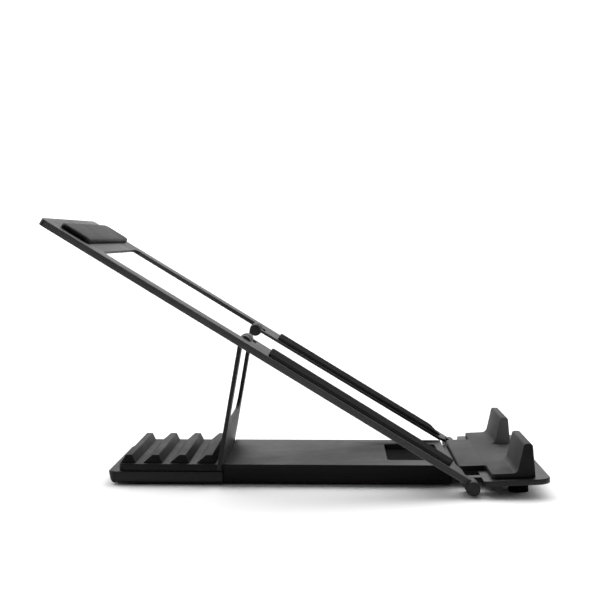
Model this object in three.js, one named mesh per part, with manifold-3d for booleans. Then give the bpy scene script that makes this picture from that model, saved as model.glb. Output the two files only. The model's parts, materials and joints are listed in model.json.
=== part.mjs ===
// Folding laptop stand: a low base with a toothed rest, a hinged support frame and a U-shaped strut.
// Millimetres, +Z up, +X towards the user (the hook end), Y across the stand.
// The stand is laid out from its front hinge axis (x = 0) and moved to its own centre at the end.

import * as THREE from 'three';
import { mergeVertices } from 'three/addons/utils/BufferGeometryUtils.js';
import Module from 'manifold-3d';

const wasm = await Module();
wasm.setup();

// ---------- driving dimensions ----------

const GAP = 0.3; // clearance between touching pieces
const ROUND_STEPS = 28; // facets round a full circle
const SMALL_STEPS = 16; // facets round a screw or a screw hole
const FILLET_STEPS = 5; // facets in one rounded corner
const CUT = 1; // how far a cutting solid runs past the face that it cuts

// Base
const BASE_REAR = -184.2;
const BASE_FRONT = -7.3;
const BASE_TOP = 10.8;
const BASE_BOTTOM = 1.0;
const TRAY_HALF = 35;
const TRAY_RIM = 7.0;
const TRAY_FLOOR = 2.0;
const TRAY_WALL = 2.0;
const TRAY_CORNER = 7;
const TRAY_RAKE = 2.2; // how far the rear wall leans in at its foot
const TRAY_BILGE = 3; // radius of the rounded lower rear edge
const TRAY_RIM_EDGE = 0.8;
const TRAY_SIDE_BILGE = 1.6;
const TRAY_CAVITY_CORNER = 3;
const MID_HALF = 31.6; // half width of the tray under the cover
const MID_RIM = 5.6;
const COVER_HALF = 34;
const COVER_WALL = 2.0;
const COVER_LIP = 0.8; // the top overhangs the side walls by this much
const COVER_LOW = 1.2; // height of the cover's lower edge
const GATE_DEPTH = 5; // the slot in the cover's front wall that the plate passes through
const GATE_TOP = 7.9;
const POCKET_REAR = -39.7;
const POCKET_FRONT = -11.5;
const POCKET_HALF = 21.5;
const POCKET_FLOOR = 8.4;
const POCKET_SKIN_LOW = 6.7; // underside of the pocket's floor
const POCKET_SKIN = 1.2;
const POCKET_GROOVE_WIDTH = 6.5; // along both sides of the pocket's floor
const POCKET_GROOVE_FLOOR = 7.7;
const POCKET_CORNER = 2;

// Toothed rest
const RACK_REAR = -178.3;
const RACK_FRONT = -124.4;
const RACK_CORNER = 4;
const RACK_TOOTH_HEIGHT = 4.2;
const RACK_TOOTH_FLAT = 3.2;
const RACK_PITCH = 13.84;
const RACK_LAST_TOOTH = -130.1; // front edge of the foremost tooth's flat
const RACK_TEETH = 4;
const RACK_REAR_RUN = 4.9; // length of each tooth's rear slope
const RACK_FRONT_RUN = 2.0; // length of each tooth's front slope
const RACK_FIRST_REAR_RUN = 2.6; // the rearmost tooth is cut short at the block's end
const RACK_TOOTH_HALF_FOOT = 31.5;
const RACK_TOOTH_HALF_TOP = 31;
const RACK_TOOTH_EDGE = 0.5;

// Base plate with its wide head
const PLATE_THICKNESS = 2.7;
const TONGUE_REAR = -118;
const TONGUE_TOP = 6.4;
const TONGUE_HALF = 28;
const PLATE_EDGE = 0.9;
const JOG_START = -12; // the plate steps up from the tongue to the head between these two
const JOG_END = -5;
const NECK_REAR = -6.8; // ahead of this line the plate is as wide as the pad
const NECK_HALF = 34;
const HEAD_REAR = 5.2;
const HEAD_FRONT = 38.2;
const HEAD_HALF = 59;
const HEAD_CORNER = 7;
const HEAD_REAR_CORNER = 1.5;
const HEAD_INNER_CORNER = 2;
const HEAD_TOP = 8.1; // height above the table of the head's top face, at the hinge
const HEAD_SLOPE = THREE.MathUtils.degToRad(2.6); // the head rises towards its front edge

// Hook pad
const PAD_REAR = -4;
const PAD_STEP = 9.6;
const PAD_FRONT = 30.6;
const PAD_NARROW_HALF = 34.5;
const PAD_WIDE_HALF = 55.5;
const PAD_THICKNESS = 2.6;
const PAD_EDGE = 0.9;
const PAD_CORNER = 2;
const PAD_TIGHT_CORNER = 1.5;
const HOOK_INNER_HALF = 19.8;
const HOOK_TOP = 26.2;
const HOOK_TOP_REAR = 25.0;
const HOOK_TOP_FRONT = 29.1;
const HOOK_ROOT_REAR = 21.8; // where the hook's rear face would meet the pad
const HOOK_FILLET = 3;
const HOOK_EDGE = 1.4;
const HOOK_TOE = 11.6; // rear end of the thickening under each hook

// Front hinge
const HINGE_Z = 4.6;
const HINGE_RADIUS = 3.6;
const LUG_INNER = 44.5;
const LUG_OUTER = 49.5;
const KNUCKLE_INNER = 50;
const PIN_RADIUS = 1.5;
const PIN_HEAD_THICKNESS = 2.0;
const PIN_TAIL = 2.2; // the pin's inner end stands this far past the lug
const CLIP_RADIUS = 2.9;
const CLIP_THICKNESS = 1.2;

// Support frame, laid flat: distance from the hinge runs along -X and its top face is up
const FRAME_ANGLE = THREE.MathUtils.degToRad(31.5);
const FRAME_LENGTH = 247.8;
const FRAME_HALF = 57;
const FRAME_TOP = 2.9; // above the hinge axis
const FRAME_SHEET = 1.5;
const FLANGE_DEPTH = 3.4;
const FLANGE_WALL = 1.6;
const FRAME_CORNER = 3.6;
const ARM_NARROW_INNER = 45;
const ARM_WIDE_INNER = 27;
const ARM_FOOT_INNER = 33;
const ARM_FOOT_START = 10.2; // the arm reaches its full width this far from the hinge
const ARM_NECK_START = 5.5;
const ARM_NECK_INNER = 40;
const ARM_CORNER = 2;
const OPENING_CORNER = 4;
const ARM_WIDE_END = 127;
const BRIDGE_START = 215.7;
const LIP_WALL = 1.4;
const LIP_DEPTH = 2.2;
const LIP_TOP_GAP = 0.5; // the lip's upper edge lies inside the sheet
const STRIP_THICKNESS = 1.5;
const STRIP_LEDGE = 1.4; // the arm shows this much beside the strip
const STRIP_START_INNER = 10.5; // the strip's foot end slants
const STRIP_START_OUTER = 15;
const STRIP_END = 118.5;
const STRIP_CORNER = 1.4;
const TOP_PAD_START = 223.2;
const TOP_PAD_END = 239.6;
const TOP_PAD_HALF = 48.8;
const TOP_PAD_CORNER = 3;
const TOP_PAD_THICKNESS = 3.0;

// Strut, laid flat: distance from its own hinge runs along -X
const STRUT_AT = 132; // distance of the strut hinge from the front hinge
const STRUT_AXIS_HEIGHT = 1.0; // above the front hinge, square to the frame
const STRUT_LEAN = THREE.MathUtils.degToRad(10); // the strut's lean off the vertical
const STRUT_BARREL = 3.3;
const STRUT_KNUCKLE = 3.5;
const STRUT_SHEET = 2.0;
const STRUT_HALF = 38.6;
const LEG_INNER = 30.6;
const STRUT_LENGTH = 64.5;
const STRUT_CUT_LENGTH = 45; // from the hinge to the bottom of the U
const STRUT_CUT_CORNER = 9;
const EAR_INNER = 34.6;
const EAR_LENGTH = 3.2;
const EAR_OUTER_CORNER = 2.5;
const EAR_INNER_CORNER = 0.8;
const STRUT_PIN_RADIUS = 1.0;
const ARM_KNUCKLE_GAP = 0.35;
const BARREL_OUTER = 44.6;
const TAB_OVERLAP = 3; // the knuckle tabs run this far back over the wide part of the arm
const BORE_BOTTOM = 0.2; // the outer knuckle's bore stops just past its outer face
const STRUT_PIN_HEAD = 1.2;
const STRUT_PIN_HEAD_RADIUS = 3.1;

// Feet and screws
const FOOT_RADIUS = 5;
const FOOT_RECESS = 1.0;
const FOOT_EDGE = 0.5;
const HEAD_FOOT_X = 24.5;
const HEAD_FOOT_Y = 42;
const BASE_FOOT_X = [-168, -22];
const BASE_FOOT_Y = 22;
const SCREW_RADIUS = 1.2;
const SCREW_HEAD_RADIUS = 2.3;
const SCREW_HEAD_HEIGHT = 1.1;
const SCREW_TIP = 9.4;
const SCREW_HEAD_EDGE = 0.4;
const SCREW_POINT = 0.6;
const HOOK_SCREW_LENGTH = 5.4;
const BOSS_RADIUS = 3.0;
const RACK_SCREW_X = [-152, -134];
const COVER_SCREW_X = [-108, -54];
const SCREW_Y = 20;
const HOOK_SCREW_X = 20;
const HOOK_SCREW_Y = 30;

// ---------- materials ----------

function satin(color, roughness, metalness) {
  return new THREE.MeshStandardMaterial({ color, roughness, metalness });
}

const finishes = {
  housing: satin(0x232325, 0.55, 0.0),
  rack: satin(0x2c2c2e, 0.6, 0.0),
  coatedSteel: satin(0x2e2e30, 0.45, 0.4),
  plate: satin(0x303032, 0.4, 0.4),
  softPad: satin(0x38383a, 0.75, 0.0),
  rubber: satin(0x151516, 0.9, 0.0),
  pin: satin(0x2a2a2c, 0.4, 0.7),
  screw: satin(0x1c1c1e, 0.4, 0.8),
};

// ---------- solids ----------

function toSolid(geometry) {
  const plain = geometry.clone();
  plain.deleteAttribute('normal');
  plain.deleteAttribute('uv');
  const merged = mergeVertices(plain, 1e-4);
  const vertProperties = new Float32Array(merged.attributes.position.array);
  const triVerts = new Uint32Array(merged.index.array);
  return new wasm.Manifold(new wasm.Mesh({ numProp: 3, vertProperties, triVerts }));
}

function toGeometry(solid) {
  const mesh = solid.getMesh();
  const geometry = new THREE.BufferGeometry();
  geometry.setAttribute('position', new THREE.BufferAttribute(mesh.vertProperties, 3));
  geometry.setIndex(new THREE.BufferAttribute(mesh.triVerts, 1));
  geometry.computeVertexNormals();
  return geometry;
}

// A closed outline from corners [x, y, radius]; a corner without a radius stays sharp.
function outline(corners) {
  const shape = new THREE.Shape();
  corners.forEach((corner, index) => {
    const here = new THREE.Vector2(corner[0], corner[1]);
    const before = corners[(index + corners.length - 1) % corners.length];
    const after = corners[(index + 1) % corners.length];
    const back = new THREE.Vector2(before[0], before[1]).sub(here).normalize();
    const ahead = new THREE.Vector2(after[0], after[1]).sub(here).normalize();
    const radius = corner[2] ?? 0;
    const halfAngle = Math.acos(THREE.MathUtils.clamp(back.dot(ahead), -1, 1)) / 2;
    const points = [];
    if (radius === 0) {
      points.push(here);
    } else {
      const middle = back.clone().add(ahead).normalize();
      const centre = here.clone().addScaledVector(middle, radius / Math.sin(halfAngle));
      const reach = radius / Math.tan(halfAngle);
      const from = here.clone().addScaledVector(back, reach).sub(centre);
      const to = here.clone().addScaledVector(ahead, reach).sub(centre);
      const turn = Math.atan2(from.cross(to), from.dot(to));
      for (let step = 0; step <= FILLET_STEPS; step += 1) {
        points.push(from.clone().rotateAround(new THREE.Vector2(), (turn * step) / FILLET_STEPS).add(centre));
      }
    }
    points.forEach((point, order) => {
      if (index === 0 && order === 0) {
        shape.moveTo(point.x, point.y);
      } else {
        shape.lineTo(point.x, point.y);
      }
    });
  });
  return shape;
}

// A plan outline (x, y) raised from one height to another.
function slab(shape, low, high) {
  const geometry = new THREE.ExtrudeGeometry(shape, { depth: high - low, bevelEnabled: false, steps: 1 });
  return toSolid(geometry.translate(0, 0, low));
}

// A side profile (x, z) spread across the stand from y = low to y = high.
function spread(shape, low, high) {
  const geometry = new THREE.ExtrudeGeometry(shape, { depth: high - low, bevelEnabled: false, steps: 1 });
  return toSolid(geometry.rotateX(Math.PI / 2).translate(0, high, 0));
}

// An end profile (y, z) run along the stand from x = low to x = high.
function run(shape, low, high) {
  const geometry = new THREE.ExtrudeGeometry(shape, { depth: high - low, bevelEnabled: false, steps: 1 });
  return toSolid(geometry.rotateX(Math.PI / 2).rotateZ(Math.PI / 2).translate(low, 0, 0));
}

function block(x0, x1, y0, y1, z0, z1) {
  const geometry = new THREE.BoxGeometry(x1 - x0, y1 - y0, z1 - z0);
  return toSolid(geometry.translate((x0 + x1) / 2, (y0 + y1) / 2, (z0 + z1) / 2));
}

// A cylinder lying across the stand, from y = low to y = high.
function barrel(x, z, radius, low, high) {
  const geometry = new THREE.CylinderGeometry(radius, radius, high - low, ROUND_STEPS);
  return toSolid(geometry.translate(x, (low + high) / 2, z));
}

// An upright cylinder.
function post(x, y, radius, low, high) {
  const steps = radius < FOOT_RADIUS ? SMALL_STEPS : ROUND_STEPS;
  const geometry = new THREE.CylinderGeometry(radius, radius, high - low, steps);
  return toSolid(geometry.rotateX(Math.PI / 2).translate(x, y, (low + high) / 2));
}

function join(solids) {
  return solids.reduce((sum, next) => sum.add(next));
}

function rectangle(x0, x1, halfWidth, radius) {
  return outline([
    [x0, -halfWidth, radius],
    [x1, -halfWidth, radius],
    [x1, halfWidth, radius],
    [x0, halfWidth, radius],
  ]);
}

function named(name, solid, finish) {
  const mesh = new THREE.Mesh(toGeometry(solid), finish.clone());
  mesh.name = name;
  return mesh;
}

// The user sits at the hook end and looks along -X, so the user's left hand is at -Y.
const sides = [
  { label: 'left', sign: -1 },
  { label: 'right', sign: 1 },
];

// The same band of y on one side of the stand, in rising order.
function band(sign, inner, outer) {
  return sign > 0 ? [inner, outer] : [-outer, -inner];
}

// ---------- base ----------

function makeTray() {
  const plan = outline([
    [BASE_REAR, -TRAY_HALF, TRAY_CORNER],
    [RACK_FRONT, -TRAY_HALF],
    [RACK_FRONT, TRAY_HALF],
    [BASE_REAR, TRAY_HALF, TRAY_CORNER],
  ]);
  const side = outline([
    [BASE_REAR + TRAY_RAKE, BASE_BOTTOM, TRAY_BILGE],
    [RACK_FRONT, BASE_BOTTOM],
    [RACK_FRONT, TRAY_RIM],
    [BASE_REAR, TRAY_RIM, TRAY_RIM_EDGE],
  ]);
  const end = outline([
    [-TRAY_HALF, BASE_BOTTOM, TRAY_SIDE_BILGE],
    [TRAY_HALF, BASE_BOTTOM, TRAY_SIDE_BILGE],
    [TRAY_HALF, TRAY_RIM],
    [-TRAY_HALF, TRAY_RIM],
  ]);
  const floorTop = BASE_BOTTOM + TRAY_FLOOR;
  const rearPan = slab(plan, BASE_BOTTOM, TRAY_RIM)
    .intersect(spread(side, -TRAY_HALF, TRAY_HALF))
    .intersect(run(end, BASE_REAR, RACK_FRONT));
  const midFront = BASE_FRONT - COVER_WALL - GAP;
  const midPan = block(RACK_FRONT - CUT, midFront, -MID_HALF, MID_HALF, BASE_BOTTOM, MID_RIM);
  const cavityRear = BASE_REAR + 3 * TRAY_WALL;
  const cavityHalf = TRAY_HALF - 2 * TRAY_WALL;
  const cavityPlan = rectangle(cavityRear, RACK_FRONT - TRAY_WALL, cavityHalf, TRAY_CAVITY_CORNER);
  const rearCavity = slab(cavityPlan, floorTop, TRAY_RIM + CUT);
  const midCavity = block(
    RACK_FRONT - 2 * TRAY_WALL,
    BASE_FRONT,
    -MID_HALF + TRAY_WALL,
    MID_HALF - TRAY_WALL,
    floorTop,
    TRAY_RIM + CUT,
  );
  let tray = rearPan.add(midPan).subtract(rearCavity).subtract(midCavity);
  for (const x of BASE_FOOT_X) {
    for (const side of sides) {
      const y = side.sign * BASE_FOOT_Y;
      tray = tray.subtract(post(x, y, FOOT_RADIUS + GAP, BASE_BOTTOM - CUT, BASE_BOTTOM + FOOT_RECESS));
    }
  }
  for (const x of [...RACK_SCREW_X, ...COVER_SCREW_X]) {
    for (const side of sides) {
      const y = side.sign * SCREW_Y;
      const seat = post(x, y, SCREW_HEAD_RADIUS + GAP, BASE_BOTTOM - CUT, BASE_BOTTOM + SCREW_HEAD_HEIGHT);
      const bore = post(x, y, SCREW_RADIUS + GAP, BASE_BOTTOM - CUT, floorTop + CUT);
      tray = tray.subtract(seat).subtract(bore);
    }
  }
  return named('base_tray', tray, finishes.housing);
}

function makeCover() {
  const rear = RACK_FRONT + GAP;
  const lid = block(rear, BASE_FRONT, -COVER_HALF, COVER_HALF, BASE_TOP - COVER_WALL, BASE_TOP);
  const wallHalf = COVER_HALF - COVER_LIP;
  const shell = lid.add(block(rear, BASE_FRONT, -wallHalf, wallHalf, COVER_LOW, BASE_TOP - CUT));
  const inside = block(
    rear - CUT,
    BASE_FRONT - COVER_WALL,
    -COVER_HALF + COVER_WALL,
    COVER_HALF - COVER_WALL,
    BASE_BOTTOM - CUT,
    BASE_TOP - COVER_WALL,
  );
  const pocketSkin = block(
    POCKET_REAR - POCKET_SKIN,
    POCKET_FRONT + POCKET_SKIN,
    -POCKET_HALF - POCKET_SKIN,
    POCKET_HALF + POCKET_SKIN,
    POCKET_SKIN_LOW,
    BASE_TOP - CUT,
  );
  const pocketPlan = rectangle(POCKET_REAR, POCKET_FRONT, POCKET_HALF, POCKET_CORNER);
  const pocket = slab(pocketPlan, POCKET_FLOOR, BASE_TOP + CUT);
  const gateHalf = TONGUE_HALF + 1;
  const tongueGate = block(BASE_FRONT - GATE_DEPTH, BASE_FRONT + CUT, -gateHalf, gateHalf, 0, GATE_TOP);
  let cover = shell.subtract(inside).add(pocketSkin).subtract(pocket).subtract(tongueGate);
  for (const side of sides) {
    const groove = band(side.sign, POCKET_HALF - POCKET_GROOVE_WIDTH, POCKET_HALF);
    const [rearEnd, frontEnd] = [POCKET_REAR + POCKET_CORNER, POCKET_FRONT - POCKET_CORNER];
    cover = cover.subtract(block(rearEnd, frontEnd, ...groove, POCKET_GROOVE_FLOOR, POCKET_FLOOR + CUT));
  }
  for (const x of COVER_SCREW_X) {
    for (const side of sides) {
      const y = side.sign * SCREW_Y;
      cover = cover.add(post(x, y, BOSS_RADIUS, TONGUE_TOP + GAP, BASE_TOP - CUT));
      cover = cover.subtract(post(x, y, SCREW_RADIUS + GAP, TONGUE_TOP, SCREW_TIP + GAP));
    }
  }
  return named('base_cover', cover, finishes.housing);
}

// One tooth's side profile, with its flat's front edge at x = front.
function toothProfile(front, rearRun) {
  const root = BASE_TOP - 1; // the tooth starts inside the block
  const slopeBelow = 1 / RACK_TOOTH_HEIGHT;
  const frontFoot = front + RACK_FRONT_RUN * (1 + slopeBelow);
  const rearFoot = front - RACK_TOOTH_FLAT - rearRun * (1 + slopeBelow);
  const top = BASE_TOP + RACK_TOOTH_HEIGHT;
  return outline([
    [frontFoot, root],
    [front, top, RACK_TOOTH_EDGE],
    [front - RACK_TOOTH_FLAT, top, RACK_TOOTH_EDGE],
    [rearFoot, root],
  ]);
}

function makeRack() {
  const rows = [];
  const plan = outline([
    [RACK_REAR, -COVER_HALF, RACK_CORNER],
    [RACK_FRONT, -COVER_HALF],
    [RACK_FRONT, COVER_HALF],
    [RACK_REAR, COVER_HALF, RACK_CORNER],
  ]);
  const ends = outline([
    [-RACK_TOOTH_HALF_FOOT, 0],
    [RACK_TOOTH_HALF_FOOT, 0],
    [RACK_TOOTH_HALF_FOOT, BASE_TOP],
    [RACK_TOOTH_HALF_TOP, BASE_TOP + RACK_TOOTH_HEIGHT],
    [-RACK_TOOTH_HALF_TOP, BASE_TOP + RACK_TOOTH_HEIGHT],
    [-RACK_TOOTH_HALF_FOOT, BASE_TOP],
  ]);
  for (let tooth = 0; tooth < RACK_TEETH; tooth += 1) {
    const front = RACK_LAST_TOOTH - tooth * RACK_PITCH;
    const rearRun = tooth === RACK_TEETH - 1 ? RACK_FIRST_REAR_RUN : RACK_REAR_RUN;
    rows.push(spread(toothProfile(front, rearRun), -RACK_TOOTH_HALF_FOOT, RACK_TOOTH_HALF_FOOT));
  }
  const teeth = join(rows).intersect(run(ends, RACK_REAR, RACK_FRONT));
  let rack = slab(plan, TRAY_RIM + GAP, BASE_TOP).add(teeth);
  for (const x of RACK_SCREW_X) {
    for (const side of sides) {
      rack = rack.subtract(post(x, side.sign * SCREW_Y, SCREW_RADIUS + GAP, 0, SCREW_TIP + GAP));
    }
  }
  return named('toothed_rest', rack, finishes.rack);
}

// Height of the head's top face, which rises towards the front.
function headTop(x) {
  return HEAD_TOP + x * Math.tan(HEAD_SLOPE);
}

function makePlate() {
  const profile = outline([
    [TONGUE_REAR, TONGUE_TOP - PLATE_THICKNESS],
    [JOG_START, TONGUE_TOP - PLATE_THICKNESS],
    [JOG_END, headTop(JOG_END) - PLATE_THICKNESS],
    [HEAD_FRONT, headTop(HEAD_FRONT) - PLATE_THICKNESS, PLATE_EDGE],
    [HEAD_FRONT, headTop(HEAD_FRONT), PLATE_EDGE],
    [JOG_END, headTop(JOG_END)],
    [JOG_START, TONGUE_TOP],
    [TONGUE_REAR, TONGUE_TOP],
  ]);
  const plan = outline([
    [TONGUE_REAR, -TONGUE_HALF],
    [NECK_REAR, -TONGUE_HALF],
    [NECK_REAR, -NECK_HALF, HEAD_REAR_CORNER],
    [HEAD_REAR, -NECK_HALF, HEAD_INNER_CORNER],
    [HEAD_REAR, -HEAD_HALF, HEAD_REAR_CORNER],
    [HEAD_FRONT, -HEAD_HALF, HEAD_CORNER],
    [HEAD_FRONT, HEAD_HALF, HEAD_CORNER],
    [HEAD_REAR, HEAD_HALF, HEAD_REAR_CORNER],
    [HEAD_REAR, NECK_HALF, HEAD_INNER_CORNER],
    [NECK_REAR, NECK_HALF, HEAD_REAR_CORNER],
    [NECK_REAR, TONGUE_HALF],
    [TONGUE_REAR, TONGUE_HALF],
  ]);
  let plate = spread(profile, -HEAD_HALF, HEAD_HALF).intersect(slab(plan, 0, BASE_TOP));
  for (const side of sides) {
    const [low, high] = band(side.sign, LUG_INNER, LUG_OUTER);
    const web = outline([
      [0, headTop(0) - PLATE_THICKNESS],
      [HEAD_REAR + 1, headTop(HEAD_REAR) - PLATE_THICKNESS],
      [HEAD_REAR + 1, headTop(HEAD_REAR)],
      [0, headTop(0)],
    ]);
    plate = plate.add(spread(web, low, high)).add(barrel(0, HINGE_Z, HINGE_RADIUS, low, high));
    plate = plate.subtract(barrel(0, HINGE_Z, PIN_RADIUS + GAP, low - CUT, high + CUT));
    plate = plate.subtract(post(HOOK_SCREW_X, side.sign * HOOK_SCREW_Y, SCREW_RADIUS + GAP, 0, BASE_TOP));
    for (const x of COVER_SCREW_X) {
      plate = plate.subtract(post(x, side.sign * SCREW_Y, SCREW_RADIUS + GAP, 0, BASE_TOP));
    }
  }
  return named('base_plate', plate, finishes.plate);
}

function makeHookPad() {
  const under = (x) => headTop(x) + GAP;
  const top = (x) => headTop(x) + PAD_THICKNESS;
  const floor = outline([
    [PAD_REAR, under(PAD_REAR)],
    [PAD_FRONT, under(PAD_FRONT)],
    [PAD_FRONT, top(PAD_FRONT)],
    [PAD_REAR, top(PAD_REAR), PAD_EDGE],
  ]);
  const plan = outline([
    [PAD_REAR, -PAD_NARROW_HALF, PAD_CORNER],
    [PAD_STEP, -PAD_NARROW_HALF, PAD_TIGHT_CORNER],
    [PAD_STEP, -PAD_WIDE_HALF, PAD_CORNER],
    [PAD_FRONT, -PAD_WIDE_HALF, PAD_TIGHT_CORNER],
    [PAD_FRONT, PAD_WIDE_HALF, PAD_TIGHT_CORNER],
    [PAD_STEP, PAD_WIDE_HALF, PAD_CORNER],
    [PAD_STEP, PAD_NARROW_HALF, PAD_TIGHT_CORNER],
    [PAD_REAR, PAD_NARROW_HALF, PAD_CORNER],
  ]);
  const hook = outline([
    [HOOK_TOE, under(HOOK_TOE) + 1],
    [PAD_FRONT, under(PAD_FRONT)],
    [HOOK_TOP_FRONT, HOOK_TOP, HOOK_EDGE],
    [HOOK_TOP_REAR, HOOK_TOP, HOOK_EDGE],
    [HOOK_ROOT_REAR, top(HOOK_ROOT_REAR), HOOK_FILLET],
    [HOOK_TOE, top(HOOK_TOE)],
  ]);
  let pad = spread(floor, -PAD_WIDE_HALF, PAD_WIDE_HALF).intersect(slab(plan, 0, HOOK_TOP));
  for (const side of sides) {
    const [low, high] = band(side.sign, HOOK_INNER_HALF, PAD_WIDE_HALF);
    pad = pad.add(spread(hook, low, high));
    pad = pad.subtract(post(HOOK_SCREW_X, side.sign * HOOK_SCREW_Y, SCREW_RADIUS + GAP, 0, BASE_TOP));
  }
  return named('hook_pad', pad, finishes.softPad);
}

// ---------- feet, screws and front hinge pins ----------

function lathed(points, steps, name, finish, x, y, z) {
  const profile = points.map(([radius, height]) => new THREE.Vector2(radius, height));
  const geometry = new THREE.LatheGeometry(profile, steps).rotateX(Math.PI / 2);
  const mesh = named(name, toSolid(geometry), finish);
  mesh.position.set(x, y, z);
  return mesh;
}

function makeFoot(name, x, y, height) {
  const points = [
    [0, 0],
    [FOOT_RADIUS - FOOT_EDGE, 0],
    [FOOT_RADIUS, FOOT_EDGE],
    [FOOT_RADIUS, height],
    [0, height],
  ];
  return lathed(points, ROUND_STEPS, name, finishes.rubber, x, y, 0);
}

function makeScrew(name, x, y, low, length) {
  const points = [
    [0, 0],
    [SCREW_HEAD_RADIUS - SCREW_HEAD_EDGE, 0],
    [SCREW_HEAD_RADIUS, SCREW_HEAD_EDGE],
    [SCREW_HEAD_RADIUS, SCREW_HEAD_HEIGHT - GAP],
    [SCREW_RADIUS, SCREW_HEAD_HEIGHT - GAP],
    [SCREW_RADIUS, length - SCREW_POINT],
    [SCREW_RADIUS - SCREW_POINT, length],
    [0, length],
  ];
  return lathed(points, SMALL_STEPS, name, finishes.screw, x, y, low);
}

function makeHingePin(side) {
  const [low, high] = band(side.sign, LUG_INNER - PIN_TAIL, FRAME_HALF + GAP);
  const headInner = FRAME_HALF + GAP;
  const [headLow, headHigh] = band(side.sign, headInner, headInner + PIN_HEAD_THICKNESS);
  const shaft = barrel(0, HINGE_Z, PIN_RADIUS, low, high);
  const head = barrel(0, HINGE_Z, HINGE_RADIUS, headLow, headHigh);
  return named(`hinge_pin_${side.label}`, shaft.add(head), finishes.pin);
}

function makeHingeClip(side) {
  const inner = LUG_INNER - GAP - CLIP_THICKNESS;
  const [low, high] = band(side.sign, inner, inner + CLIP_THICKNESS);
  const ring = barrel(0, HINGE_Z, CLIP_RADIUS, low, high);
  const bore = barrel(0, HINGE_Z, PIN_RADIUS + GAP, low - CUT, high + CUT);
  return named(`hinge_clip_${side.label}`, ring.subtract(bore), finishes.pin);
}

// ---------- support frame ----------

// Outline of one arm's inner side, from the hinge to the bridge, on the side given by sign.
function armInside(sign) {
  return [
    [-ARM_NECK_START, sign * KNUCKLE_INNER],
    [-ARM_NECK_START, sign * ARM_NECK_INNER, ARM_CORNER],
    [-ARM_FOOT_START, sign * ARM_FOOT_INNER, ARM_CORNER],
    [-ARM_WIDE_END, sign * ARM_WIDE_INNER, ARM_CORNER],
    [-ARM_WIDE_END, sign * ARM_NARROW_INNER, ARM_CORNER],
    [-BRIDGE_START, sign * ARM_NARROW_INNER, OPENING_CORNER],
  ];
}

function makeFrame() {
  const full = outline([
    [0, FRAME_HALF],
    [-FRAME_LENGTH, FRAME_HALF, FRAME_CORNER],
    [-FRAME_LENGTH, -FRAME_HALF, FRAME_CORNER],
    [0, -FRAME_HALF],
    [0, -KNUCKLE_INNER],
    ...armInside(-1),
    ...armInside(1).reverse(),
    [0, KNUCKLE_INNER],
  ]);
  const hollowHalf = FRAME_HALF - FLANGE_WALL;
  const hollowEnd = -FRAME_LENGTH + FLANGE_WALL;
  const hollowCorner = FRAME_CORNER - FLANGE_WALL;
  const hollow = outline([
    [CUT, hollowHalf],
    [hollowEnd, hollowHalf, hollowCorner],
    [hollowEnd, -hollowHalf, hollowCorner],
    [CUT, -hollowHalf],
  ]);
  const sheetLow = FRAME_TOP - FRAME_SHEET;
  const flangeLow = FRAME_TOP - FLANGE_DEPTH;
  let frame = slab(full, flangeLow, FRAME_TOP).subtract(slab(hollow, flangeLow - CUT, sheetLow));
  for (const side of sides) {
    const lipBand = band(side.sign, ARM_NARROW_INNER, ARM_NARROW_INNER + LIP_WALL);
    const lipTop = FRAME_TOP - LIP_TOP_GAP;
    const lip = block(-BRIDGE_START, -ARM_WIDE_END, ...lipBand, FRAME_TOP - LIP_DEPTH, lipTop);
    frame = frame.add(lip);
    const knuckle = band(side.sign, KNUCKLE_INNER, FRAME_HALF);
    frame = frame.add(barrel(0, 0, HINGE_RADIUS, ...knuckle));
    frame = frame.subtract(barrel(0, 0, PIN_RADIUS + GAP, knuckle[0] - CUT, knuckle[1] + CUT));
    const inboard = band(side.sign, ARM_WIDE_INNER, LEG_INNER - ARM_KNUCKLE_GAP);
    const outboard = band(side.sign, STRUT_HALF + ARM_KNUCKLE_GAP, BARREL_OUTER);
    for (const part of [inboard, outboard]) {
      const tab = block(-STRUT_AT, -ARM_WIDE_END + TAB_OVERLAP, ...part, sheetLow, FRAME_TOP);
      frame = frame.add(tab).add(barrel(-STRUT_AT, STRUT_AXIS_HEIGHT, STRUT_BARREL, ...part));
      const boreBand = [part[0] - CUT, part[1] + BORE_BOTTOM];
      const bore = barrel(-STRUT_AT, STRUT_AXIS_HEIGHT, STRUT_PIN_RADIUS + GAP, ...boreBand);
      frame = frame.subtract(bore);
    }
  }
  return named('support_frame', frame, finishes.coatedSteel);
}

function makeStrip(side) {
  const outer = FRAME_HALF - STRIP_LEDGE;
  const corners = [
    [-STRIP_START_INNER, side.sign * (ARM_FOOT_INNER + STRIP_LEDGE), STRIP_CORNER],
    [-STRIP_START_OUTER, side.sign * outer, STRIP_CORNER],
    [-STRIP_END, side.sign * outer, STRIP_CORNER],
    [-STRIP_END, side.sign * (ARM_WIDE_INNER + STRIP_LEDGE), STRIP_CORNER],
  ];
  const low = FRAME_TOP + GAP;
  const solid = slab(outline(corners), low, FRAME_TOP + STRIP_THICKNESS);
  return named(`grip_strip_${side.label}`, solid, finishes.rubber);
}

function makeTopPad() {
  const shape = rectangle(-TOP_PAD_END, -TOP_PAD_START, TOP_PAD_HALF, TOP_PAD_CORNER);
  const solid = slab(shape, FRAME_TOP + GAP, FRAME_TOP + TOP_PAD_THICKNESS);
  return named('top_rest_pad', solid, finishes.softPad);
}

// ---------- strut ----------

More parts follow.
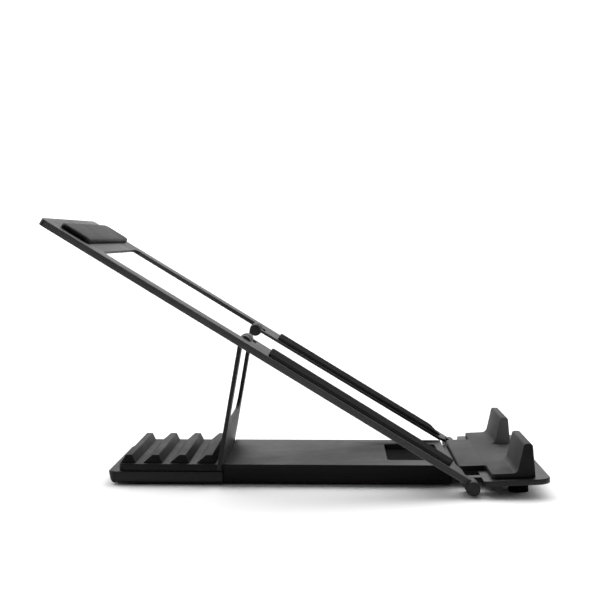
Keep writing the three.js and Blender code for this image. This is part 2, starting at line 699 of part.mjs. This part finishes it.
function makeStrut() {
  const low = STRUT_KNUCKLE - STRUT_SHEET;
  const earEnd = -STRUT_LENGTH - EAR_LENGTH;
  const plan = outline([
    [0, STRUT_HALF],
    [earEnd, STRUT_HALF, EAR_OUTER_CORNER],
    [earEnd, EAR_INNER, EAR_INNER_CORNER],
    [-STRUT_LENGTH, EAR_INNER],
    [-STRUT_LENGTH, -EAR_INNER],
    [earEnd, -EAR_INNER, EAR_INNER_CORNER],
    [earEnd, -STRUT_HALF, EAR_OUTER_CORNER],
    [0, -STRUT_HALF],
    [0, -LEG_INNER],
    [-STRUT_CUT_LENGTH, -LEG_INNER, STRUT_CUT_CORNER],
    [-STRUT_CUT_LENGTH, LEG_INNER, STRUT_CUT_CORNER],
    [0, LEG_INNER],
  ]);
  let strut = slab(plan, low, STRUT_KNUCKLE);
  for (const side of sides) {
    const width = band(side.sign, LEG_INNER, STRUT_HALF);
    strut = strut.add(barrel(0, 0, STRUT_KNUCKLE, ...width));
    strut = strut.subtract(barrel(0, 0, STRUT_PIN_RADIUS + GAP, width[0] - CUT, width[1] + CUT));
  }
  return named('strut', strut, finishes.coatedSteel);
}

function makeStrutPin(side) {
  const headOuter = ARM_WIDE_INNER - GAP;
  const [low, high] = band(side.sign, headOuter, BARREL_OUTER - STRUT_PIN_RADIUS);
  const [headLow, headHigh] = band(side.sign, headOuter - STRUT_PIN_HEAD, headOuter);
  const shaft = barrel(-STRUT_AT, STRUT_AXIS_HEIGHT, STRUT_PIN_RADIUS, low, high);
  const head = barrel(-STRUT_AT, STRUT_AXIS_HEIGHT, STRUT_PIN_HEAD_RADIUS, headLow, headHigh);
  return named(`strut_pin_${side.label}`, shaft.add(head), finishes.pin);
}

// ---------- assembly ----------

const base = new THREE.Group();
base.add(makeTray(), makeCover(), makeRack(), makePlate(), makeHookPad());

const frameGroup = new THREE.Group();
frameGroup.position.set(0, 0, HINGE_Z);
frameGroup.rotation.y = FRAME_ANGLE;
frameGroup.add(makeFrame(), makeTopPad());

const strutGroup = new THREE.Group();
strutGroup.position.set(-STRUT_AT, 0, STRUT_AXIS_HEIGHT);
strutGroup.rotation.y = STRUT_LEAN - Math.PI / 2 - FRAME_ANGLE;
strutGroup.add(makeStrut());
frameGroup.add(strutGroup);

const headFootHeight = headTop(HEAD_FOOT_X - FOOT_RADIUS) - PLATE_THICKNESS - GAP;
const hookScrewLow = headTop(HOOK_SCREW_X) - PLATE_THICKNESS - SCREW_HEAD_HEIGHT - GAP;
for (const side of sides) {
  base.add(makeHingePin(side), makeHingeClip(side));
  base.add(makeFoot(`head_foot_${side.label}`, HEAD_FOOT_X, side.sign * HEAD_FOOT_Y, headFootHeight));
  const hookScrewY = side.sign * HOOK_SCREW_Y;
  base.add(makeScrew(`hook_screw_${side.label}`, HOOK_SCREW_X, hookScrewY, hookScrewLow, HOOK_SCREW_LENGTH));
  BASE_FOOT_X.forEach((x, index) => {
    const name = `${index === 0 ? 'rear' : 'mid'}_foot_${side.label}`;
    base.add(makeFoot(name, x, side.sign * BASE_FOOT_Y, BASE_BOTTOM + FOOT_RECESS - GAP));
  });
  RACK_SCREW_X.forEach((x, index) => {
    const name = `rest_screw_${side.label}_${index + 1}`;
    base.add(makeScrew(name, x, side.sign * SCREW_Y, BASE_BOTTOM, SCREW_TIP - BASE_BOTTOM));
  });
  COVER_SCREW_X.forEach((x, index) => {
    const name = `cover_screw_${side.label}_${index + 1}`;
    base.add(makeScrew(name, x, side.sign * SCREW_Y, BASE_BOTTOM, SCREW_TIP - BASE_BOTTOM));
  });
  frameGroup.add(makeStrip(side), makeStrutPin(side));
}

const stand = new THREE.Group();
stand.add(base, frameGroup);
stand.updateMatrixWorld(true);
const extent = new THREE.Box3().setFromObject(stand, true);
stand.position.set(-(extent.min.x + extent.max.x) / 2, 0, -extent.min.z);
stand.updateMatrixWorld(true);

export default stand;
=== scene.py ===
"""Looks of a folding laptop stand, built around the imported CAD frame. Metres, +Z up, hooks at +X."""
import json
import math

import bmesh
import bpy
from mathutils import Matrix, Vector

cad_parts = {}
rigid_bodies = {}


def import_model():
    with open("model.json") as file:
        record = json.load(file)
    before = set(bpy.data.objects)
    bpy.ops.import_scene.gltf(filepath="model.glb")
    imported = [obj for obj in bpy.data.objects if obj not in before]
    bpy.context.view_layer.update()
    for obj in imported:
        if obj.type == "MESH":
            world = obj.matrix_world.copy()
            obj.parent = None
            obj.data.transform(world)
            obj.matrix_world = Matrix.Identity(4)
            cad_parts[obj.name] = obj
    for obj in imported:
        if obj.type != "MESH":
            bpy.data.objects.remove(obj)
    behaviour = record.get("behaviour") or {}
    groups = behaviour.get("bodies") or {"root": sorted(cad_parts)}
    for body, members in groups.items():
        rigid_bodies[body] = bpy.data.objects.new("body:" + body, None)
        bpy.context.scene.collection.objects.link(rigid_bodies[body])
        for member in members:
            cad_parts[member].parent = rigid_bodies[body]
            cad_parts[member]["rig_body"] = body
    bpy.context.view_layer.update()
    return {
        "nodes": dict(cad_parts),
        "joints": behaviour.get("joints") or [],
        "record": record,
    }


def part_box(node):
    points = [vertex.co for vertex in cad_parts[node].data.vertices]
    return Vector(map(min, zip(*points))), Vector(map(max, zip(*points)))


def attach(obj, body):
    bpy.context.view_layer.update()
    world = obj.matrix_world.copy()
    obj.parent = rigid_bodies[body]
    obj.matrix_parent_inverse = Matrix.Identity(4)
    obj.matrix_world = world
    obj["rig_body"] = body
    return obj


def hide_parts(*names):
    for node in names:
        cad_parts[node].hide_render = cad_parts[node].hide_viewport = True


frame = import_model()

MM = 0.001
SHARP = math.radians(30)  # an edge turning by more than this is a real edge
MERGE_DISTANCE = 0.002 * MM
FLAT = math.radians(0.6)  # faces meeting at less than this are one flat face
SQUARE_ON = 0.9  # a face points along an axis when this much of its normal does

POCKET_HALF = 22 * MM
FLOOR_DEPTHS = (2.2 * MM, 2.6 * MM)  # the pocket's floor lies this far below the cover's top
GROOVE_DEPTHS = (2.8 * MM, 3.3 * MM)
HOOK_MIDDLE = 30 * MM  # side faces of the hook pad nearer the middle than this are inner ends

# The camera's place is measured from the front hinge along x, and from the frame's origin along y and z.
CAMERA_LENS = 63.74
CAMERA_SENSOR = 36.0
CAMERA_TURN_TO_REAR = math.radians(1.99)
CAMERA_TILT_DOWN = math.radians(3.32)
CAMERA_ROLL = math.radians(-0.16)
CAMERA_BEHIND_HINGE = 65.97 * MM
CAMERA_DISTANCE = 569.9 * MM
CAMERA_HEIGHT = 126.1 * MM

# Sky brightness: the share left on the camera's side, then the strengths at the horizon and overhead.
SKY_FRONT = 0.08
SKY_HORIZON = 0.80
SKY_OVERHEAD = 4.0
BACKDROP = 1.6
FRONT_TO_BACK = (-0.2, 0.6)
HORIZON_TO_OVERHEAD = (0.1, 0.6)
FLOOR_REACH = 12.0
FLOOR_WHITE = 0.93

# Width of the edges that get a painted highlight.
EDGE_HIGHLIGHT_RADIUS = 0.5 * MM
GRAIN_HEIGHT = 0.02 * MM
BLOTCH_SCALE = 28.0
SMUDGE_SCALE = 55.0
BLOTCH = 0.18  # how far the blotches go to either side of the base colour
SPECK_GAIN = 1.9

scene = bpy.context.scene


# ---------- camera ----------

def add_camera():
    """Stands at the long side, a little above the stand, and looks slightly to the rear and down."""
    look_rear = CAMERA_TURN_TO_REAR
    look_down = CAMERA_TILT_DOWN
    roll = CAMERA_ROLL
    hinge = Vector(next(j for j in frame["joints"] if j["name"] == "frame_hinge")["pos_m"])
    data = bpy.data.cameras.new("camera")
    data.sensor_width = CAMERA_SENSOR
    data.lens = CAMERA_LENS
    data.clip_start = 0.01
    data.clip_end = 50.0
    camera = bpy.data.objects.new("camera", data)
    scene.collection.objects.link(camera)
    forward = Vector((
        -math.sin(look_rear) * math.cos(look_down),
        math.cos(look_rear) * math.cos(look_down),
        -math.sin(look_down),
    ))
    level_right = Vector((math.cos(look_rear), math.sin(look_rear), 0.0))
    level_up = level_right.cross(forward)
    right = level_right * math.cos(roll) + level_up * math.sin(roll)
    up = level_up * math.cos(roll) - level_right * math.sin(roll)
    place = Vector((hinge.x - CAMERA_BEHIND_HINGE, -CAMERA_DISTANCE, CAMERA_HEIGHT))
    turn = Matrix((right, up, -forward)).transposed()
    camera.matrix_world = Matrix.Translation(place) @ turn.to_4x4()
    scene.camera = camera


add_camera()


# ---------- light and floor ----------

def ramp(tree, source, span, at_low, at_high):
    """A smooth change from at_low to at_high as the source crosses the span."""
    node = tree.nodes.new("ShaderNodeMapRange")
    node.interpolation_type = "SMOOTHSTEP"
    node.inputs["From Min"].default_value = span[0]
    node.inputs["From Max"].default_value = span[1]
    node.inputs["To Min"].default_value = at_low
    node.inputs["To Max"].default_value = at_high
    tree.links.new(source, node.inputs["Value"])
    return node.outputs["Result"]


def add_world():
    """A sky dim on the camera's side, brighter behind and brightest above.

    Camera rays see a plain white backdrop instead, which lights nothing.
    """
    world = bpy.data.worlds.new("studio")
    scene.world = world
    world.use_nodes = True
    tree = world.node_tree
    background = tree.nodes["Background"]
    backdrop = tree.nodes.new("ShaderNodeBackground")
    backdrop.inputs["Strength"].default_value = BACKDROP
    for shader in (background, backdrop):
        shader.inputs["Color"].default_value = (1.0, 1.0, 1.0, 1.0)
    facing = tree.nodes.new("ShaderNodeTexCoord")
    axes = tree.nodes.new("ShaderNodeSeparateXYZ")
    tree.links.new(facing.outputs["Generated"], axes.inputs["Vector"])
    product = tree.nodes.new("ShaderNodeMath")
    product.operation = "MULTIPLY"
    backward = ramp(tree, axes.outputs["Y"], FRONT_TO_BACK, SKY_FRONT, 1.0)
    upward = ramp(tree, axes.outputs["Z"], HORIZON_TO_OVERHEAD, SKY_HORIZON, SKY_OVERHEAD)
    tree.links.new(backward, product.inputs[0])
    tree.links.new(upward, product.inputs[1])
    tree.links.new(product.outputs["Value"], background.inputs["Strength"])
    path = tree.nodes.new("ShaderNodeLightPath")
    choice = tree.nodes.new("ShaderNodeMixShader")
    tree.links.new(path.outputs["Is Camera Ray"], choice.inputs["Fac"])
    tree.links.new(background.outputs["Background"], choice.inputs[1])
    tree.links.new(backdrop.outputs["Background"], choice.inputs[2])
    tree.links.new(choice.outputs["Shader"], tree.nodes["World Output"].inputs["Surface"])


def add_floor():
    material = bpy.data.materials.new("floor")
    material.use_nodes = True
    shader = material.node_tree.nodes["Principled BSDF"]
    shader.inputs["Base Color"].default_value = (FLOOR_WHITE, FLOOR_WHITE, FLOOR_WHITE, 1.0)
    shader.inputs["Roughness"].default_value = 0.9
    shader.inputs["Specular IOR Level"].default_value = 0.1
    mesh = bpy.data.meshes.new("floor")
    signs = [(-1, -1), (1, -1), (1, 1), (-1, 1)]
    corners = [(x * FLOOR_REACH, y * FLOOR_REACH, 0.0) for x, y in signs]
    mesh.from_pydata(corners, [], [(0, 1, 2, 3)])
    mesh.materials.append(material)
    floor = bpy.data.objects.new("floor", mesh)
    scene.collection.objects.link(floor)


scene.view_settings.view_transform = "Standard"
add_world()
add_floor()


# ---------- materials ----------

class Nodes:
    """A short way to write a material's node tree."""

    def __init__(self, name):
        self.material = bpy.data.materials.new(name)
        self.material.use_nodes = True
        self.tree = self.material.node_tree
        self.shader = self.tree.nodes["Principled BSDF"]
        self.place = self.add("ShaderNodeTexCoord").outputs["Object"]

    def add(self, kind, **settings):
        node = self.tree.nodes.new(kind)
        for key, value in settings.items():
            setattr(node, key, value)
        return node

    def link(self, source, target):
        self.tree.links.new(source, target)

    def noise(self, scale, detail=3.0, roughness=0.55):
        node = self.add("ShaderNodeTexNoise")
        node.inputs["Scale"].default_value = scale
        node.inputs["Detail"].default_value = detail
        node.inputs["Roughness"].default_value = roughness
        self.link(self.place, node.inputs["Vector"])
        return node.outputs["Fac"]

    def spread(self, source, low, high, out_low, out_high):
        node = self.add("ShaderNodeMapRange")
        node.inputs["From Min"].default_value = low
        node.inputs["From Max"].default_value = high
        node.inputs["To Min"].default_value = out_low
        node.inputs["To Max"].default_value = out_high
        self.link(source, node.inputs["Value"])
        return node.outputs["Result"]

    def mix(self, share, first, second):
        node = self.add("ShaderNodeMix", data_type="RGBA")
        self.link(share, node.inputs["Factor"])
        for socket, value in ((node.inputs["A"], first), (node.inputs["B"], second)):
            if isinstance(value, tuple):
                socket.default_value = value
            else:
                self.link(value, socket)
        return node.outputs["Result"]

    def edges(self, radius):
        """1 on edges, where the highlight is painted, 0 on flat faces."""
        rounded = self.add("ShaderNodeBevel", samples=4)
        rounded.inputs["Radius"].default_value = radius
        flat = self.add("ShaderNodeNewGeometry")
        dot = self.add("ShaderNodeVectorMath", operation="DOT_PRODUCT")
        self.link(rounded.outputs["Normal"], dot.inputs[0])
        self.link(flat.outputs["Normal"], dot.inputs[1])
        return self.spread(dot.outputs["Value"], 0.995, 0.90, 0.0, 1.0)

    def bump(self, height, strength, distance):
        node = self.add("ShaderNodeBump")
        node.inputs["Strength"].default_value = strength
        node.inputs["Distance"].default_value = distance
        self.link(height, node.inputs["Height"])
        self.link(node.outputs["Normal"], self.shader.inputs["Normal"])


def grey(value):
    return (value, value, value, 1.0)


def finish_material(name, base, rough, grain_scale, grain, edge_highlight=1.6, spec=0.5):
    """A dark satin surface with soft blotches, painted highlights along its edges, fine grain and uneven
    gloss.
    """
    nodes = Nodes(name)
    patches = nodes.noise(BLOTCH_SCALE, 4.0)
    dark = grey(base * (1.0 - BLOTCH))
    light = grey(base * (1.0 + BLOTCH))
    colour = nodes.mix(nodes.spread(patches, 0.35, 0.65, 0.0, 1.0), dark, light)
    specks = nodes.noise(grain_scale * 0.6, 2.0)
    colour = nodes.mix(nodes.spread(specks, 0.62, 0.78, 0.0, 0.35), colour, grey(base * SPECK_GAIN))
    # Edges take a lighter grey: a painted highlight.
    highlit_edges = nodes.edges(EDGE_HIGHLIGHT_RADIUS)
    colour = nodes.mix(highlit_edges, colour, grey(base * edge_highlight))
    nodes.link(colour, nodes.shader.inputs["Base Color"])
    smudges = nodes.noise(SMUDGE_SCALE, 5.0, 0.65)
    gloss = nodes.spread(smudges, 0.3, 0.7, rough - 0.05, rough + 0.07)
    nodes.link(gloss, nodes.shader.inputs["Roughness"])
    nodes.shader.inputs["Specular IOR Level"].default_value = spec
    nodes.bump(nodes.noise(grain_scale, 3.0), grain, GRAIN_HEIGHT)
    return nodes.material


# base grey, roughness, grain scale, grain strength
materials = {
    "housing": finish_material("housing_plastic", 0.009, 0.54, 3200, 0.35, spec=0.15),
    # Painted shade: a darker copy for the cover's side faces.
    "housing_side_painted_shade": finish_material("housing_side_painted_shade", 0.0035, 0.42, 3200, 0.2, spec=0.12),
    # Painted light: a lighter copy for the tray's side faces.
    "tray_side_painted_light": finish_material("tray_side_painted_light", 0.010, 0.42, 3200, 0.2, spec=0.2),
    # Painted shade: a darker copy for the pocket's floor.
    "pocket_floor_painted_shade": finish_material("pocket_floor_painted_shade", 0.002, 0.7, 3200, 0.3, spec=0.015),
    "rest": finish_material("rest_plastic", 0.008, 0.58, 3000, 0.4, spec=0.10),
    # Painted shade: a darker copy of the rest's finish for its side faces.
    "rest_side_painted_shade": finish_material("rest_side_painted_shade", 0.006, 0.5, 3000, 0.25, spec=0.15),
    "frame": finish_material("frame_powder_coat", 0.013, 0.5, 2400, 0.45, edge_highlight=5.0, spec=0.13),
    # Painted light: a lighter copy of the frame's finish for its side faces.
    "frame_side_painted_light": finish_material("frame_powder_coat_painted_light", 0.036, 0.5, 2400, 0.4, edge_highlight=5.0, spec=0.2),
    # Painted shade: a darker copy for the strut's side faces.
    "strut_side_painted_shade": finish_material("strut_powder_coat_painted_shade", 0.007, 0.5, 2400, 0.3, spec=0.2),
    "plate": finish_material("plate_powder_coat", 0.013, 0.44, 2400, 0.4, spec=0.13),
    # Painted shade: a darker copy of the plate's finish for its side faces.
    "plate_side_painted_shade": finish_material("plate_powder_coat_painted_shade", 0.009, 0.45, 2400, 0.3, spec=0.22),
    "soft_pad": finish_material("soft_elastomer", 0.023, 0.68, 2600, 0.45, edge_highlight=1.25, spec=0.15),
    # Painted shade: a darker copy for the rest pad's top faces.
    "rest_pad_top_painted_shade": finish_material("rest_pad_top_painted_shade", 0.019, 0.7, 2600, 0.45, edge_highlight=1.25, spec=0.12),
    # Painted shade: a darker copy for the pads' side faces (the hook pad's outer ones).
    "soft_pad_side_painted_shade": finish_material("soft_elastomer_painted_shade", 0.0055, 0.6, 2600, 0.3, edge_highlight=1.5, spec=0.14),
    # Painted light: a much lighter copy for the hook pad's inner end faces.
    "soft_pad_inner_painted_light": finish_material("soft_elastomer_painted_light", 0.11, 0.68, 2600, 0.4, edge_highlight=1.1, spec=0.2),
    "rubber": finish_material("grip_rubber", 0.006, 0.9, 1500, 0.8, edge_highlight=1.8, spec=0.02),
    # Painted light: a lighter copy of the grip rubber for the strips' side faces.
    "rubber_side_painted_light": finish_material("grip_rubber_painted_light", 0.034, 0.9, 1500, 0.6, edge_highlight=1.4, spec=0.05),
    # Painted light: a lighter copy for the pocket's walls.
    "pocket_wall_painted_light": finish_material("pocket_wall_painted_light", 0.020, 0.7, 3200, 0.3, spec=0.1),
    # Painted shade: a matte, low-gloss copy for the pocket's grooves.
    "pocket": finish_material("pocket_groove_painted_shade", 0.010, 0.85, 2600, 0.5, spec=0.05),
    "pin": finish_material("blackened_steel", 0.012, 0.45, 2600, 0.3, spec=0.2),
    "screw": finish_material("black_oxide", 0.015, 0.35, 2600, 0.3),
}


# ---------- pieces ----------

def faces_side(face):
    return abs(face.normal.y) > SQUARE_ON


def faces_up(face):
    return face.normal.z > 0.7


def faces_outer_side(face):
    return faces_side(face) and abs(face.calc_center_median().y) > HOOK_MIDDLE


def faces_inner_side(face):
    return faces_side(face) and abs(face.calc_center_median().y) < HOOK_MIDDLE


def in_pocket(face, depths):
    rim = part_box("base_cover")[1].z
    middle = face.calc_center_median()
    level = face.normal.z > SQUARE_ON
    return level and abs(middle.y) < POCKET_HALF and depths[0] < rim - middle.z < depths[1]


def in_pocket_wall(face):
    return faces_side(face) and abs(face.calc_center_median().y) < POCKET_HALF + 1 * MM


def in_groove(face):
    return in_pocket(face, GROOVE_DEPTHS)


def in_floor(face):
    return in_pocket(face, FLOOR_DEPTHS)


# Greys by face direction, where a later test wins. They are fitted to the photo's view and make up for
# the light there: some are darker than the piece's own finish and some lighter. They are not known
# differences of the real finish.
PATCHES = {
    "base_tray": [(faces_side, "tray_side_painted_light")],
    "base_cover": [
        (faces_side, "housing_side_painted_shade"),
        (in_groove, "pocket"),
        (in_floor, "pocket_floor_painted_shade"),
        (in_pocket_wall, "pocket_wall_painted_light"),
    ],
    "toothed_rest": [(faces_side, "rest_side_painted_shade")],
    "base_plate": [(faces_side, "plate_side_painted_shade")],
    "hook_pad": [(faces_outer_side, "soft_pad_side_painted_shade"), (faces_inner_side, "soft_pad_inner_painted_light")],
    "top_rest_pad": [(faces_side, "soft_pad_side_painted_shade"), (faces_up, "rest_pad_top_painted_shade")],
    "support_frame": [(faces_side, "frame_side_painted_light")],
    "grip_strip_left": [(faces_side, "rubber_side_painted_light")],
    "grip_strip_right": [(faces_side, "rubber_side_painted_light")],
    "strut": [(faces_side, "strut_side_painted_shade")],
}


def min_corner(points):
    return Vector([min(point[axis] for point in points) for axis in range(3)])


def max_corner(points):
    return Vector([max(point[axis] for point in points) for axis in range(3)])


def frame_axes():
    """The support frame's own up and along directions, from the slant of its top face at rest."""
    faces = frame["nodes"]["support_frame"].data.polygons
    upward = [face for face in faces if face.normal.z > 0.5]
    up = max(upward, key=lambda face: face.area).normal.copy()
    return up, Vector((0.0, 1.0, 0.0)).cross(up)


FRAME_UP, FRAME_ALONG = frame_axes()

RECESS_LENGTH = 2.8 * MM
RECESS_WIDTH = 0.65 * MM
RECESS_DEPTH = 0.55 * MM

# (how far in from the outline, how far below the top face)
PAD_RINGS = [
    (0.0, 1.4 * MM), (0.08 * MM, 1.0 * MM), (0.3 * MM, 0.65 * MM), (0.75 * MM, 0.4 * MM),
    (1.5 * MM, 0.25 * MM), (3.0 * MM, 0.12 * MM), (5.0 * MM, 0.03 * MM), (6.5 * MM, 0.0),
]
STRIP_RINGS = [
    (0.0, 0.75 * MM), (0.06 * MM, 0.5 * MM), (0.22 * MM, 0.26 * MM), (0.5 * MM, 0.1 * MM),
    (1.1 * MM, 0.03 * MM), (2.5 * MM, 0.0),
]

EDGE_WIDTH = {
    "base_tray": 0.6 * MM,
    "base_cover": 0.35 * MM,
    "toothed_rest": 0.35 * MM,
    "base_plate": 0.5 * MM,
    "hook_pad": 0.8 * MM,
    "support_frame": 0.6 * MM,
    "strut": 0.3 * MM,
    "hinge_pin_left": 0.5 * MM,
    "hinge_pin_right": 0.5 * MM,
}
SMALL_EDGE = 0.25 * MM


def slot_of(node):
    return next(s["material_slot"] for s in frame["record"]["subparts"] if s["node"] == node)


def clean_copy(node):
    """A bmesh of the CAD node with its flat faces whole."""
    work = bmesh.new()
    work.from_mesh(frame["nodes"][node].data)
    bmesh.ops.remove_doubles(work, verts=work.verts, dist=MERGE_DISTANCE)
    bmesh.ops.dissolve_limit(work, angle_limit=FLAT, verts=work.verts, edges=work.edges)
    work.normal_update()
    return work


def stand_in(node, work):
    """Turns a bmesh into the piece that stands for the node, with its material, body and slot."""
    mesh = bpy.data.meshes.new(node + "_fine")
    mesh.materials.append(materials[slot_of(node)])
    patches = PATCHES.get(node, [])
    for _, finish in patches:
        mesh.materials.append(materials[finish])
    for face in work.faces:
        face.smooth = True
        face.material_index = 0
        for index, (test, finish) in enumerate(patches):
            if test(face):
                face.material_index = index + 1
    work.to_mesh(mesh)
    work.free()
    piece = bpy.data.objects.new(node + "_fine", mesh)
    scene.collection.objects.link(piece)
    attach(piece, frame["nodes"][node]["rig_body"])
    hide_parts(node)
    return piece


def soften_edges(piece, width, segments=3):
    soften = piece.modifiers.new("edge", "BEVEL")
    soften.width = width
    soften.segments = segments
    soften.limit_method = "ANGLE"
    soften.angle_limit = SHARP
    soften.harden_normals = True


def refined(node, width):
    """A smooth-edged copy of a CAD node's shape."""
    piece = stand_in(node, clean_copy(node))
    soften_edges(piece, width)
    return piece


def crowned(node, rings):
    """A soft slab on the support frame: the CAD outline, rising ring by ring towards the top face.

    A ring is (how far in from the outline, how far below the top face).
    """
    source = clean_copy(node)
    top = max(source.faces, key=lambda face: face.calc_area() * max(0.0, face.normal.dot(FRAME_UP)))
    outline = [vert.co.copy() for vert in top.verts]
    centre = (max_corner(outline) + min_corner(outline)) / 2
    half_along = max(abs((point - centre).dot(FRAME_ALONG)) for point in outline)
    half_across = max(abs(point.y - centre.y) for point in outline)
    depth = max((centre - vert.co).dot(FRAME_UP) for vert in source.verts)
    source.free()
    work = bmesh.new()
    loops = []
    for inset, drop in [(0.0, depth)] + rings:
        loop = []
        for point in outline:
            along = (point - centre).dot(FRAME_ALONG) * (1.0 - inset / half_along)
            across = (point.y - centre.y) * (1.0 - inset / half_across)
            place = centre + FRAME_ALONG * along + Vector((0.0, across, 0.0)) - FRAME_UP * drop
            loop.append(work.verts.new(place))
        loops.append(loop)
    count = len(outline)
    for low, high in zip(loops, loops[1:]):
        for i in range(count):
            j = (i + 1) % count
            work.faces.new((low[i], low[j], high[j], high[i]))
    work.faces.new(loops[-1])
    work.faces.new(list(reversed(loops[0])))
    bmesh.ops.recalc_face_normals(work, faces=work.faces)
    return stand_in(node, work)


def lathed(node, profile, steps):
    """An upright turned piece about the node's own axis, from (radius, height) points off the node's foot."""
    low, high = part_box(node)
    middle = (low + high) / 2
    work = bmesh.new()
    rows = []
    for radius, height in profile:
        row = []
        for step in range(steps if radius > 0.0 else 1):
            turn = math.tau * step / steps
            row.append(work.verts.new((
                middle.x + radius * math.cos(turn),
                middle.y + radius * math.sin(turn),
                low.z + height,
            )))
        rows.append(row)
    for lower, upper in zip(rows, rows[1:]):
        for step in range(steps):
            after = (step + 1) % steps
            corners = [lower[step % len(lower)], lower[after % len(lower)]]
            corners += [upper[after % len(upper)], upper[step % len(upper)]]
            work.faces.new(list(dict.fromkeys(corners)))
    bmesh.ops.recalc_face_normals(work, faces=work.faces)
    return stand_in(node, work)


def make_foot(node):
    """A turned rubber foot with a rounded rim and a shallow ring groove in its underside."""
    low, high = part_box(node)
    radius = (high.x - low.x) / 2
    height = high.z - low.z
    rim = 0.5 * MM
    profile = [
        (0.0, 0.0),
        (radius * 0.42, 0.0),
        (radius * 0.46, 0.3 * MM),
        (radius * 0.58, 0.3 * MM),
        (radius * 0.62, 0.0),
    ]
    for step in range(5):
        turn = math.radians(90) * step / 4
        profile.append((radius - rim + rim * math.sin(turn), rim - rim * math.cos(turn)))
    profile += [(radius, height - 0.15 * MM), (radius - 0.15 * MM, height), (0.0, height)]
    return lathed(node, profile, 64)


def make_screw(node):
    """A pan-head screw with a cross recess in its underside."""
    piece = refined(node, 0.2 * MM)
    low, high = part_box(node)
    middle = (low + high) / 2
    work = bmesh.new()
    for length, width in ((RECESS_LENGTH, RECESS_WIDTH), (RECESS_WIDTH, RECESS_LENGTH)):
        made = bmesh.ops.create_cube(work, size=1.0)["verts"]
        bmesh.ops.scale(work, vec=(length, width, 2 * RECESS_DEPTH), verts=made)
        bmesh.ops.translate(work, vec=(middle.x, middle.y, low.z), verts=made)
    mesh = bpy.data.meshes.new(node + "_recess")
    work.to_mesh(mesh)
    work.free()
    cutter = bpy.data.objects.new(node + "_recess", mesh)
    scene.collection.objects.link(cutter)
    carve = piece.modifiers.new("recess", "BOOLEAN")
    carve.operation = "DIFFERENCE"
    carve.solver = "EXACT"
    carve.use_self = True
    carve.object = cutter
    bpy.context.view_layer.update()
    carved = bpy.data.meshes.new_from_object(piece.evaluated_get(bpy.context.evaluated_depsgraph_get()))
    piece.modifiers.clear()
    piece.data = carved
    bpy.data.objects.remove(cutter)
    return piece


def make_piece(node):
    if node == "top_rest_pad":
        crowned(node, PAD_RINGS)
    elif node == "hook_pad":
        refined(node, EDGE_WIDTH[node])
    elif node.startswith("grip_strip"):
        crowned(node, STRIP_RINGS)
    elif "_foot_" in node:
        make_foot(node)
    elif "_screw_" in node:
        make_screw(node)
    else:
        refined(node, EDGE_WIDTH.get(node, SMALL_EDGE))


for name in list(frame["nodes"]):
    make_piece(name)
